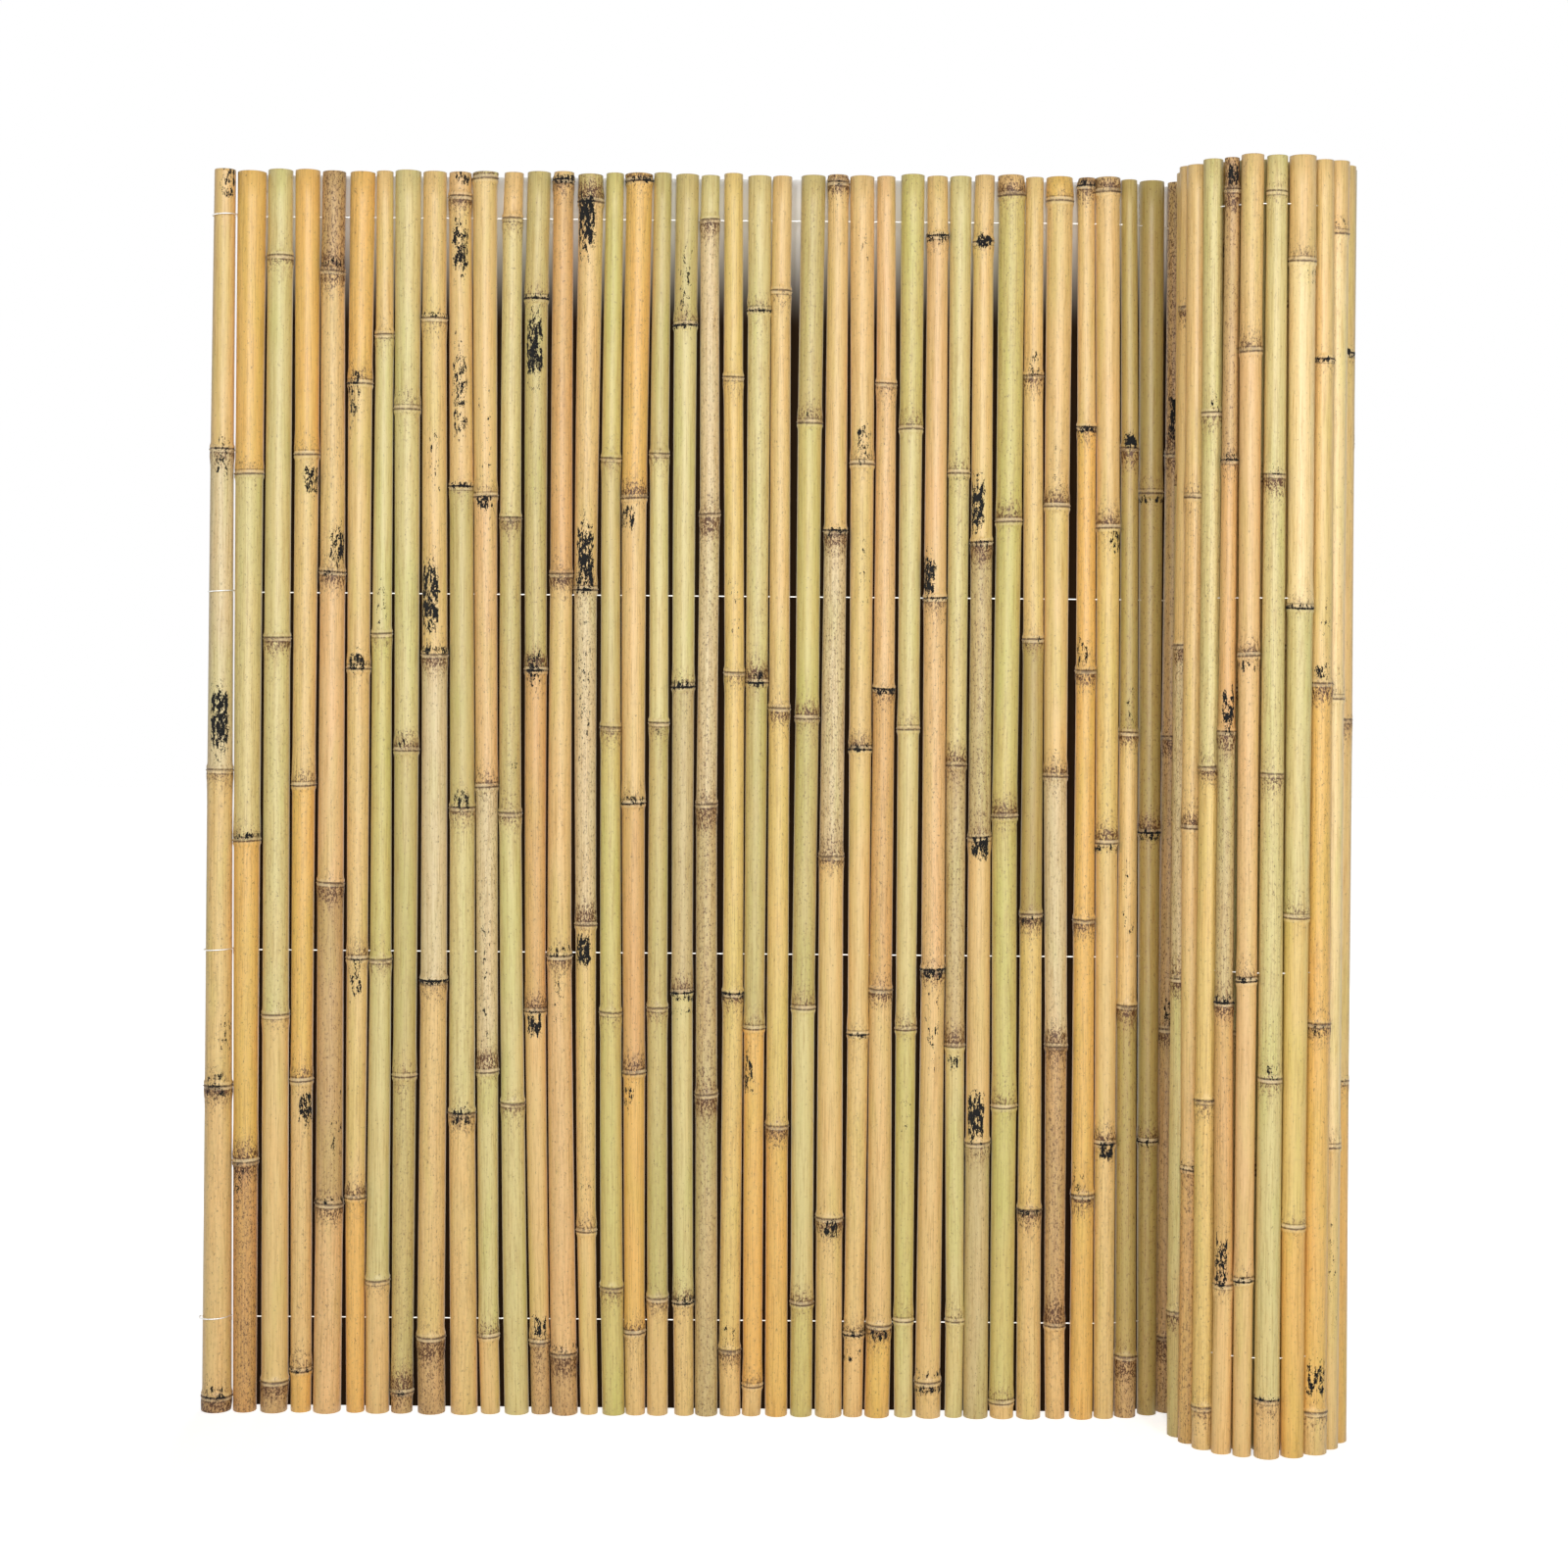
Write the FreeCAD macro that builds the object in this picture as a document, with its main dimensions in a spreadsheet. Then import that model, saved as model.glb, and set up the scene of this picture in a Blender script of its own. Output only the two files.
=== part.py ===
import FreeCAD, Part
import Sketcher
import math
import os

# Bamboo screening roll: upright canes threaded on four rows of wire, with one end still rolled up.
# Millimetres and degrees. The canes stand on z = 0, and the unrolled part runs along X.

# Driving dimensions: alias, value, meaning
SIZES = [
    ("cane_height", 1220, "cut length of every cane"),
    ("cane_wall", 4, "wall of the open ends"),
    ("joint_rise", 0.7, "how far a joint's ridge stands out of the cane"),
    ("joint_below", 6, "length of the ridge's slope below the joint"),
    ("joint_above", 3, "length of the ridge's slope above the joint"),
    ("joint_end_room", 8, "least room between a joint and the head of its cane"),
    ("diaphragm", 4, "thickness of the wall that closes the cane at a joint"),
    ("wire_diameter", 1.2, "galvanised wire"),
    ("hole_clearance", 0.5, "room round the wire in its drilled hole"),
    ("drill_overrun", 2, "how far the drill runs out of the cane's ridges on each side"),
    ("row_foot_inset", 92, "lowest wire above the feet of the canes"),
    ("row_head_inset", 46, "top wire below the heads of the canes"),
    ("row_upper_drop", 9, "how far the third wire lies below its even place"),
    ("swing_turn", 8.5, "turn at each gap where the flat part swings behind the roll"),
    ("roll_radius", 88.5, "radius of the wire where the roll begins, at its back"),
    ("turn_spacing", 24.5, "distance from one turn of the roll to the next"),
    ("loop_stand_off", 0.3, "room between an end loop and its cane"),
    ("bend_radius", 1.6, "smallest bend of the wire at its ends"),
    ("tail_length", 6, "bent end of the wire behind the row at the free edge"),
    ("inner_end_length", 16, "wire end bent up against the innermost cane"),
]

# Wires from the foot up: name and what is taken off the even spacing
WIRES = [
    ("wire_foot", None),
    ("wire_lower", None),
    ("wire_upper", "row_upper_drop"),
    ("wire_head", None),
]

# Canes from the free edge to the roll: foot diameter, head diameter, gap to the next cane, heights of the joints.
# They are threaded with the thick end up and down by turns.
FLAT_CANES = [
    (29.0, 21.0, 2.6, (15, 320, 630, 945)),
    (23.5, 29.0, 1.8, (245, 560, 920)),
    (27.0, 25.0, 1.6, (30, 390, 760, 1135)),
    (20.0, 24.5, 1.9, (40, 325, 615, 940)),
    (27.5, 23.0, 4.8, (205, 520, 825, 1120)),
    (18.0, 24.5, 2.1, (210, 445, 730, 1010)),
    (23.5, 16.5, 2.3, (130, 445, 765, 1060)),
    (21.0, 25.5, 3.2, (20, 330, 650, 985)),
    (27.0, 23.0, 3.4, (75, 425, 745, 1075)),
    (26.5, 22.0, 1.8, (295, 595, 910, 1195)),
    (19.5, 24.5, 5.1, (75, 335, 615, 900, 1212)),
    (24.0, 19.0, 2.6, (305, 590, 880, 1175)),
    (18.5, 23.0, 2.6, (70, 395, 730, 1095)),
    (26.0, 20.0, 2.9, (60, 450, 825, 1212)),
    (17.5, 25.0, 3.5, (180, 480, 810, 1190)),
    (22.5, 17.5, 1.9, (125, 395, 675, 940)),
    (19.5, 26.0, 1.9, (80, 335, 600, 900, 1211)),
    (20.5, 17.5, 5.1, (115, 400, 680, 945)),
    (19.5, 23.0, 1.9, (110, 415, 715, 1070)),
    (22.5, 18.5, 3.5, (315, 600, 885, 1175)),
    (20.5, 18.5, 2.6, (65, 415, 730, 1020)),
    (18.5, 23.0, 2.9, (30, 380, 720, 1085)),
    (22.0, 19.0, 4.8, (285, 695, 1105)),
    (21.5, 24.0, 2.9, (110, 400, 685, 975)),
    (26.5, 20.0, 2.6, (195, 550, 870, 1212)),
    (19.0, 24.0, 2.3, (80, 375, 655, 935)),
    (24.5, 18.0, 5.1, (90, 420, 715, 1015)),
    (18.5, 23.5, 2.3, (95, 380, 675, 970)),
    (25.0, 20.5, 1.9, (35, 440, 805, 1160)),
    (17.5, 21.5, 1.9, (95, 365, 640, 927)),
    (24.5, 19.5, 2.3, (270, 570, 860, 1155)),
    (23.5, 26.0, 2.6, (15, 305, 590, 880, 1200)),
    (24.0, 17.5, 3.5, (205, 495, 765, 1025)),
    (19.5, 26.0, 5.1, (90, 365, 630, 895, 1195)),
    (23.0, 16.5, 1.9, (220, 490, 735, 975, 1212)),
    (19.5, 24.0, 1.8, (270, 565, 875, 1205)),
    (21.5, 16.0, 3.2, (60, 405, 675, 955)),
    (19.0, 24.5, 3.5, (270, 575, 910)),
    (23.0, 18.0, 2.2, (75, 380, 670, 950)),
    (19.0, 23.0, 2.2, (150, 470, 800, 1110)),
    (24.0, 19.5, 2.2, (235, 560, 900)),
    (20.0, 23.0, 2.2, (105, 430, 770, 1090)),
]

# Canes of the roll that show at its right side and front
ROLL_FRONT_CANES = [
    (19.0, 22.0, 4.4, (210, 535, 955)),
    (21.5, 19.5, 4.4, (345, 690, 1040)),
    (19.5, 21.5, 2.6, (285, 710, 1150)),
    (25.0, 18.5, 2.6, (40, 405, 725, 1030)),
    (22.0, 25.5, 2.4, (215, 505, 795, 1120)),
    (24.0, 19.5, 2.4, (55, 355, 640, 920, 1185)),
    (17.5, 21.5, 2.2, (165, 445, 750, 1035)),
    (19.0, 14.0, 3.0, (160, 425, 680, 935, 1190)),
    (20.5, 19.0, 2.2, (40, 330, 645, 980)),
    (18.5, 22.0, 2.2, (260, 585, 900)),
]

# Canes that nobody sees from outside repeat these
HIDDEN_CANES = [
    (22.5, 19.0, 2.2, (120, 440, 760, 1085)),
    (19.0, 22.0, 2.2, (260, 590, 915)),
    (22.0, 19.5, 2.2, (65, 395, 720, 1050)),
    (19.5, 22.5, 2.2, (205, 540, 860, 1130)),
]
BACK_HIDDEN_COUNT = 5
INNER_HIDDEN_COUNT = 17

# Gaps at which the flat part turns back and then forward again, counted by the cane before the gap
SWING_BACK_GAPS = (35, 36, 37)
SWING_FORWARD_GAPS = (39, 40, 41)

doc = FreeCAD.newDocument("bamboo_screen")


def hidden_cane(index):
    """Return the schedule row of a cane that is out of sight."""
    return HIDDEN_CANES[index % len(HIDDEN_CANES)]


def cane_schedule():
    """Join the flat part, the outer turn of the roll and its inside into one list."""
    back = [hidden_cane(index) for index in range(BACK_HIDDEN_COUNT)]
    inside = [hidden_cane(index) for index in range(INNER_HIDDEN_COUNT)]
    return FLAT_CANES + back + ROLL_FRONT_CANES + inside


def cane_name(number):
    return "cane_%02d" % number


def row_formula(index):
    """Height of one row of holes: even spaces between the lowest and the top one, less the row's own drop."""
    span = "(sizes.cane_height - sizes.row_head_inset - sizes.row_foot_inset)"
    formula = "sizes.row_foot_inset + %s * %d / %d" % (span, index, len(WIRES) - 1)
    drop = WIRES[index][1]
    if drop:
        formula += " - sizes." + drop
    return formula


def row_height(sheet, index):
    foot_inset = float(sheet.get("row_foot_inset"))
    span = float(sheet.get("cane_height")) - float(sheet.get("row_head_inset")) - foot_inset
    height = foot_inset + span * index / (len(WIRES) - 1)
    drop = WIRES[index][1]
    if drop:
        height -= float(sheet.get(drop))
    return height


def fill_sheet(schedule):
    """Write the driving dimensions and the cane schedule as plain numbers with aliases."""
    sheet = doc.addObject("Spreadsheet::Sheet", "sizes")
    row = 1
    for alias, value, meaning in SIZES:
        sheet.set("A%d" % row, alias)
        sheet.set("B%d" % row, str(value))
        sheet.set("C%d" % row, meaning)
        sheet.setAlias("B%d" % row, alias)
        row += 1
    for number, (foot, head, gap, joints) in enumerate(schedule, 1):
        name = cane_name(number)
        sheet.set("A%d" % row, name)
        cells = [("foot", foot), ("head", head), ("gap", gap)]
        cells += [("joint_%d" % index, height) for index, height in enumerate(joints, 1)]
        for column, (word, value) in zip("BCDEFGHI", cells):
            sheet.set("%s%d" % (column, row), str(value))
            sheet.setAlias("%s%d" % (column, row), "%s_%s" % (name, word))
        row += 1
    doc.recompute()
    return sheet


def origin_plane(body, role):
    """Return one of the body's own origin planes."""
    return next(item for item in body.Origin.OriginFeatures if item.Role == role)


def new_sketch(body, name, role):
    sketch = body.newObject("Sketcher::SketchObject", name)
    sketch.AttachmentSupport = [(origin_plane(body, role), "")]
    sketch.MapMode = "FlatFace"
    return sketch


def add_bound_outline(sketch, corners):
    """Draw a closed outline. Each corner is (x, y, x formula, y formula); a formula of None lies on the axis."""
    points = [FreeCAD.Vector(x, y, 0) for x, y, _, _ in corners]
    count = len(points)
    sketch.addGeometry([Part.LineSegment(points[i], points[(i + 1) % count]) for i in range(count)], False)
    for i in range(count):
        sketch.addConstraint(Sketcher.Constraint("Coincident", i, 2, (i + 1) % count, 1))
    for i, (x, y, x_formula, y_formula) in enumerate(corners):
        if x_formula is None:
            sketch.addConstraint(Sketcher.Constraint("PointOnObject", i, 1, -2))
        else:
            index = sketch.addConstraint(Sketcher.Constraint("DistanceX", -1, 1, i, 1, x))
            sketch.setExpression("Constraints[%d]" % index, x_formula)
        if y_formula is None:
            sketch.addConstraint(Sketcher.Constraint("PointOnObject", i, 1, -1))
        else:
            index = sketch.addConstraint(Sketcher.Constraint("DistanceY", -1, 1, i, 1, y))
            sketch.setExpression("Constraints[%d]" % index, y_formula)


class Cane:
    """One cane of the schedule: its sizes from the sheet and its place on the wire."""

    def __init__(self, sheet, number, joint_count):
        self.name = cane_name(number)
        self.foot = float(sheet.get(self.name + "_foot"))
        self.head = float(sheet.get(self.name + "_head"))
        self.gap = float(sheet.get(self.name + "_gap"))
        self.height = float(sheet.get("cane_height"))
        self.joints = self.place_joints(sheet, joint_count)
        self.mean = (self.foot + self.head) / 2
        self.centre = FreeCAD.Vector()
        self.heading = 0.0

    def place_joints(self, sheet, joint_count):
        """Return height and formula of each joint on the cut length.

        Past the last joint of the schedule they go on at the cane's longest spacing.
        """
        formulas = ["sizes.%s_joint_%d" % (self.name, index + 1) for index in range(joint_count)]
        heights = [float(sheet.get("%s_joint_%d" % (self.name, index + 1))) for index in range(joint_count)]
        longest = max(range(1, joint_count), key=lambda index: heights[index] - heights[index - 1])
        spacing = heights[longest] - heights[longest - 1]
        spacing_formula = "(%s - %s)" % (formulas[longest], formulas[longest - 1])
        highest = self.height - float(sheet.get("joint_end_room"))
        while heights[-1] + spacing <= highest:
            heights.append(heights[-1] + spacing)
            formulas.append("%s + %s" % (formulas[-1], spacing_formula))
        return [(height, formula) for height, formula in zip(heights, formulas) if height <= highest]

    def radius_at(self, z):
        return (self.foot + (self.head - self.foot) * z / self.height) / 2

    def radius_formula(self, z_formula):
        foot = "sizes.%s_foot" % self.name
        head = "sizes.%s_head" % self.name
        return "(%s + (%s - %s) * (%s) / sizes.cane_height) / 2" % (foot, head, foot, z_formula)


def lay_out_canes(sheet, canes):
    """Walk along the wire: one straight run through each cane, one turn in each gap.

    Returns the corner of the wire in each gap.
    """
    swing = float(sheet.get("swing_turn"))
    radius = float(sheet.get("roll_radius"))
    spacing = float(sheet.get("turn_spacing"))
    roll_start = len(FLAT_CANES)
    corner = FreeCAD.Vector()
    heading = 0.0
    rolled = 0.0
    room_before = 0.0
    corners = []
    for number, cane in enumerate(canes, 1):
        along = FreeCAD.Vector(math.cos(math.radians(heading)), math.sin(math.radians(heading)), 0)
        cane.centre = corner + along * (room_before + cane.mean / 2)
        cane.heading = heading
        corner = cane.centre + along * (cane.mean / 2 + cane.gap / 2)
        room_before = cane.gap / 2
        if number == len(canes):
            break
        turn = 0.0
        if number in SWING_BACK_GAPS:
            turn = swing
        elif number in SWING_FORWARD_GAPS:
            turn = -swing
        elif number >= roll_start:
            step = (cane.mean + canes[number].mean) / 2 + cane.gap
            turn = -math.degrees(step / (radius - spacing * rolled / 360))
            rolled -= turn
        heading += turn
        corners.append((corner, abs(turn)))
    return corners


def culm_corners(sheet, cane):
    """Half section of a cane: tapered outside, one ridge at each joint, hollow from each end to a joint."""
    wall = float(sheet.get("cane_wall"))
    rise = float(sheet.get("joint_rise"))
    below = float(sheet.get("joint_below"))
    above = float(sheet.get("joint_above"))
    half_diaphragm = float(sheet.get("diaphragm")) / 2
    height = cane.height
    lowest, lowest_formula = cane.joints[0]
    highest, highest_formula = cane.joints[-1]
    foot_floor = lowest - half_diaphragm
    head_floor = highest + half_diaphragm
    foot_floor_formula = lowest_formula + " - sizes.diaphragm / 2"
    head_floor_formula = highest_formula + " + sizes.diaphragm / 2"
    foot_formula = cane.radius_formula("0")
    head_formula = cane.radius_formula("sizes.cane_height")
    corners = [
        (cane.foot / 2 - wall, 0, foot_formula + " - sizes.cane_wall", None),
        (cane.foot / 2, 0, foot_formula, None),
    ]
    for joint, joint_formula in cane.joints:
        low_formula = joint_formula + " - sizes.joint_below"
        high_formula = joint_formula + " + sizes.joint_above"
        low = joint - below
        high = joint + above
        corners.append((cane.radius_at(low), low, cane.radius_formula(low_formula), low_formula))
        peak_formula = cane.radius_formula(joint_formula) + " + sizes.joint_rise"
        corners.append((cane.radius_at(joint) + rise, joint, peak_formula, joint_formula))
        corners.append((cane.radius_at(high), high, cane.radius_formula(high_formula), high_formula))
    corners += [
        (cane.head / 2, height, head_formula, "sizes.cane_height"),
        (cane.head / 2 - wall, height, head_formula + " - sizes.cane_wall", "sizes.cane_height"),
        (cane.head / 2 - wall, head_floor, head_formula + " - sizes.cane_wall", head_floor_formula),
        (0, head_floor, None, head_floor_formula),
        (0, foot_floor, None, foot_floor_formula),
        (cane.foot / 2 - wall, foot_floor, foot_formula + " - sizes.cane_wall", foot_floor_formula),
    ]
    return corners


def build_cane(sheet, cane):
    """Turn the cane about its axis, then drill it once for each row of wire."""
    body = doc.addObject("PartDesign::Body", cane.name)
    body.Label = cane.name
    profile = new_sketch(body, cane.name + "_profile", "XZ_Plane")
    add_bound_outline(profile, culm_corners(sheet, cane))
    culm = body.newObject("PartDesign::Revolution", cane.name + "_culm")
    culm.Profile = (profile, [""])
    culm.ReferenceAxis = (profile, ["V_Axis"])
    culm.Angle = 360

    hole_radius = float(sheet.get("wire_diameter")) / 2 + float(sheet.get("hole_clearance"))
    drill = new_sketch(body, cane.name + "_drill", "YZ_Plane")
    for index in range(len(WIRES)):
        height = row_height(sheet, index)
        drill.addGeometry(Part.Circle(FreeCAD.Vector(0, height, 0), FreeCAD.Vector(0, 0, 1), hole_radius), False)
        drill.addConstraint(Sketcher.Constraint("PointOnObject", index, 3, -2))
        place = drill.addConstraint(Sketcher.Constraint("DistanceY", -1, 1, index, 3, height))
        drill.setExpression("Constraints[%d]" % place, row_formula(index))
        size = drill.addConstraint(Sketcher.Constraint("Radius", index, hole_radius))
        drill.setExpression("Constraints[%d]" % size, "sizes.wire_diameter / 2 + sizes.hole_clearance")
    holes = body.newObject("PartDesign::Pocket", cane.name + "_holes")
    holes.Profile = (drill, [""])
    holes.Type = "Length"
    holes.Midplane = True
    thickest = "max(sizes.%s_foot; sizes.%s_head)" % (cane.name, cane.name)
    holes.setExpression("Length", thickest + " + 2 * (sizes.joint_rise + sizes.drill_overrun)")
    body.Placement = FreeCAD.Placement(cane.centre, FreeCAD.Rotation(FreeCAD.Vector(0, 0, 1), cane.heading))
    return body


def rounded_wire(points, radii):
    """Join straight runs by tangent arcs. radii holds one radius for each inner point."""
    edges = []
    start = points[0]
    for before, point, after, radius in zip(points, points[1:], points[2:], radii):
        arriving = (point - before).normalize()
        leaving = (after - point).normalize()
        half_turn = arriving.getAngle(leaving) / 2
        reach = radius * math.tan(half_turn)
        arc_start = point - arriving * reach
        arc_end = point + leaving * reach
        inward = (leaving - arriving).normalize()
        middle = point + inward * (radius / math.cos(half_turn) - radius)
        edges.append(Part.LineSegment(start, arc_start).toShape())
        edges.append(Part.Arc(arc_start, middle, arc_end).toShape())
        start = arc_end
    edges.append(Part.LineSegment(start, points[-1]).toShape())
    return Part.Wire(edges)


def outer_reach(sheet, cane, z):
    """Distance from a cane's axis to a wire that lies along its face."""
    return cane.radius_at(z) + float(sheet.get("wire_diameter")) / 2 + float(sheet.get("loop_stand_off"))


def in_cane_frame(cane, points):
    """Place points given as (along the row, across it, height) round a cane."""
    turn = FreeCAD.Rotation(FreeCAD.Vector(0, 0, 1), cane.heading)
    return [cane.centre + turn.multVec(FreeCAD.Vector(*point)) for point in points]


def free_edge_loop(sheet, cane, neighbour, z):
    """Points and radii of the wire's end at the free edge, from its tip to the first cane's hole.

    The tip hangs behind the row in the first gap, passes over the wire there and goes round the
    front of the cane.
    """
    wire_diameter = float(sheet.get("wire_diameter"))
    stand_off = float(sheet.get("loop_stand_off"))
    bend = float(sheet.get("bend_radius"))
    outer = outer_reach(sheet, cane, z)
    distance = (neighbour.centre - cane.centre).Length
    gap_middle = (cane.radius_at(z) + distance - neighbour.radius_at(z)) / 2
    over = wire_diameter + stand_off
    round_cane = (outer + gap_middle) * 0.49
    front = round_cane + bend + stand_off
    behind = wire_diameter + bend + stand_off
    points = in_cane_frame(cane, [
        (gap_middle, behind, z + over - float(sheet.get("tail_length"))),
        (gap_middle, behind, z + over),
        (gap_middle, -front, z + over),
        (-outer, -front, z),
        (-outer, 0, z),
    ])
    return points, [bend, round_cane, round_cane, bend]


def inner_end(sheet, cane, z):
    """Points and radius of the wire's end past the innermost cane, bent up against it."""
    reach = outer_reach(sheet, cane, z) + float(sheet.get("joint_rise"))
    tip = z + float(sheet.get("inner_end_length"))
    return in_cane_frame(cane, [(reach, 0, z), (reach, 0, tip)]), [float(sheet.get("bend_radius"))]


def wire_path(sheet, canes, corners, z):
    """Centre line of one row of wire."""
    points, radii = free_edge_loop(sheet, canes[0], canes[1], z)
    for number, (corner, turn) in enumerate(corners):
        if turn > 0:
            reach = canes[number].gap * 0.45
            points.append(FreeCAD.Vector(corner.x, corner.y, z))
            radii.append(reach / math.tan(math.radians(turn) / 2))
    last_points, last_radii = inner_end(sheet, canes[-1], z)
    return rounded_wire(points + last_points, radii + last_radii)


def build_wire(sheet, canes, corners, index):
    """Sweep the wire's round section along its path."""
    name = WIRES[index][0]
    z = row_height(sheet, index)
    wire_radius = float(sheet.get("wire_diameter")) / 2
    path = doc.addObject("Part::Feature", name + "_path")
    path.Shape = wire_path(sheet, canes, corners, z)
    start = path.Shape.OrderedVertexes[0].Point
    section = doc.addObject("Part::Circle", name + "_section")
    section.setExpression("Radius", "sizes.wire_diameter / 2")
    section.Placement = FreeCAD.Placement(start, FreeCAD.Rotation())
    sweep = doc.addObject("Part::Sweep", name)
    sweep.Label = name
    sweep.Sections = [section]
    sweep.Spine = (path, ["Edge%d" % (index + 1) for index in range(len(path.Shape.Edges))])
    sweep.Solid = True
    sweep.Frenet = False
    doc.recompute()
    expected = math.pi * wire_radius ** 2 * path.Shape.Length
    print("%s: volume %.1f, section times length %.1f" % (name, sweep.Shape.Volume, expected))
    return sweep


def group_canes(name, bodies):
    """Keep neighbouring canes of the roll together under one name."""
    group = doc.addObject("Part::Compound", name)
    group.Label = name
    group.Links = bodies
    return group


def centre_on_origin(parts):
    """Move the part so that the middle of its footprint is at x = 0, y = 0."""
    box = FreeCAD.BoundBox()
    for item in parts:
        box.add(item.Shape.BoundBox)
    shift = FreeCAD.Vector(-(box.XMin + box.XMax) / 2, -(box.YMin + box.YMax) / 2, 0)
    for item in parts:
        item.Placement = FreeCAD.Placement(shift, FreeCAD.Rotation()).multiply(item.Placement)


def check_document():
    """Stop if any object failed to build."""
    for item in doc.Objects:
        if "Invalid" in item.State or "Error" in item.State:
            raise RuntimeError("%s: %s" % (item.Label, item.State))


def main():
    schedule = cane_schedule()
    sheet = fill_sheet(schedule)
    canes = [Cane(sheet, number, len(row[3])) for number, row in enumerate(schedule, 1)]
    corners = lay_out_canes(sheet, canes)
    bodies = [build_cane(sheet, cane) for cane in canes]
    wires = [build_wire(sheet, canes, corners, index) for index in range(len(WIRES))]
    doc.recompute()

    back_start = len(FLAT_CANES)
    front_start = back_start + BACK_HIDDEN_COUNT
    inside_start = front_start + len(ROLL_FRONT_CANES)
    inside_middle = inside_start + INNER_HIDDEN_COUNT // 2
    groups = [
        group_canes("roll_back", bodies[back_start:front_start]),
        group_canes("roll_inside_outer", bodies[inside_start:inside_middle]),
        group_canes("roll_inside_inner", bodies[inside_middle:]),
    ]
    singles = bodies[:back_start] + bodies[front_start:inside_start]
    centre_on_origin(bodies + wires)
    doc.recompute()
    check_document()

    os.makedirs("parts", exist_ok=True)
    for item in singles + groups + wires:
        shape = item.Shape
        if shape.isNull() or not shape.isValid():
            raise RuntimeError("%s has no valid shape" % item.Label)
        shape.exportStep("parts/%s.step" % item.Label)


main()
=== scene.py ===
import math
import random

import bmesh
import bpy
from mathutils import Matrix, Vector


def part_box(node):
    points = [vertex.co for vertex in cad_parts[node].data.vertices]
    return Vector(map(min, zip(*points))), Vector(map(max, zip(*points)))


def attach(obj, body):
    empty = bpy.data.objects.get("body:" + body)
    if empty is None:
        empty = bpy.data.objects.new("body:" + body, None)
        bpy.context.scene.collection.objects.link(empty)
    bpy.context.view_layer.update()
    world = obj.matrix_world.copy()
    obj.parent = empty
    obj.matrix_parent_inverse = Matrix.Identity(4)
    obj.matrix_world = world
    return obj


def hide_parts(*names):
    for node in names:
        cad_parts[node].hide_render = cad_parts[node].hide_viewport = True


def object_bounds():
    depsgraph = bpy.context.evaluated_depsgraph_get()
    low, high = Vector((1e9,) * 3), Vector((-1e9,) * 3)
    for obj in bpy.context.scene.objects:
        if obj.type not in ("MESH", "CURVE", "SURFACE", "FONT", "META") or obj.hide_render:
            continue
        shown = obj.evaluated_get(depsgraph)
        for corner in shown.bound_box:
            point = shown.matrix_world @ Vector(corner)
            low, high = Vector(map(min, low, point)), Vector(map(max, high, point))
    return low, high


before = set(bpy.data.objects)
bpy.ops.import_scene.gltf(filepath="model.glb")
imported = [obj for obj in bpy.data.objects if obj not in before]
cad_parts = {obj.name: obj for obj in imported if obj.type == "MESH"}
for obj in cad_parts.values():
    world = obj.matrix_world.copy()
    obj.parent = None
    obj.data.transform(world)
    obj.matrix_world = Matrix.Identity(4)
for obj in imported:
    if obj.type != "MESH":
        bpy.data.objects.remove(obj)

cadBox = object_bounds()
mm = 0.001
print("frame loaded:", len(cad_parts), "nodes")


# Node helpers

class Value:
    def __init__(self, graph, socket):
        self.graph = graph
        self.socket = socket

    def output(self, name):
        return Value(self.graph, self.socket.node.outputs[name])

    def __add__(self, other):
        return self.graph.math("ADD", self, other)

    def __radd__(self, other):
        return self.graph.math("ADD", other, self)

    def __sub__(self, other):
        return self.graph.math("SUBTRACT", self, other)

    def __rsub__(self, other):
        return self.graph.math("SUBTRACT", other, self)

    def __mul__(self, other):
        return self.graph.math("MULTIPLY", self, other)

    def __rmul__(self, other):
        return self.graph.math("MULTIPLY", other, self)

    def __truediv__(self, other):
        return self.graph.math("DIVIDE", self, other)


class Graph:
    def __init__(self, tree):
        self.tree = tree

    def node(self, kind, settings=None, values=None, out=0):
        made = self.tree.nodes.new(kind)
        for name, value in (settings or {}).items():
            setattr(made, name, value)
        for key, value in (values or {}).items():
            if isinstance(value, Value):
                self.tree.links.new(value.socket, made.inputs[key])
            else:
                made.inputs[key].default_value = value
        return Value(self, made.outputs[out]) if made.outputs else None

    def math(self, operation, *values):
        return self.node("ShaderNodeMath", {"operation": operation}, dict(enumerate(values)))

    def vector(self, operation, *values):
        return self.node("ShaderNodeVectorMath", {"operation": operation}, dict(enumerate(values)))

    def mix(self, factor, a, b, blend="MIX"):
        settings = {"data_type": "RGBA", "blend_type": blend, "clamp_factor": True}
        return self.node("ShaderNodeMix", settings, {0: factor, 6: a, 7: b}, out=2)

    # 0 below low, 1 above high
    def ramp(self, value, low, high):
        settings = {"interpolation_type": "SMOOTHSTEP"}
        return self.node("ShaderNodeMapRange", settings, {0: value, 1: low, 2: high})

    def noise(self, vector, stretch, detail, rough):
        place = self.vector("MULTIPLY", vector, stretch)
        values = {"Vector": place, "Scale": 1.0, "Detail": detail, "Roughness": rough}
        return self.node("ShaderNodeTexNoise", {"noise_dimensions": "3D"}, values)

    def attribute(self, name, out="Fac"):
        return self.node("ShaderNodeAttribute", {"attribute_name": name}, out=out)


def linear(colour):
    def channel(level):
        level /= 255
        return level / 12.92 if level <= 0.04045 else ((level + 0.055) / 1.055) ** 2.4
    return tuple(channel(level) for level in colour) + (1.0,)


def newMaterial(name):
    material = bpy.data.materials.new(name)
    material.use_nodes = True
    material.node_tree.nodes.clear()
    return material, Graph(material.node_tree)


# Bamboo skin

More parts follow.
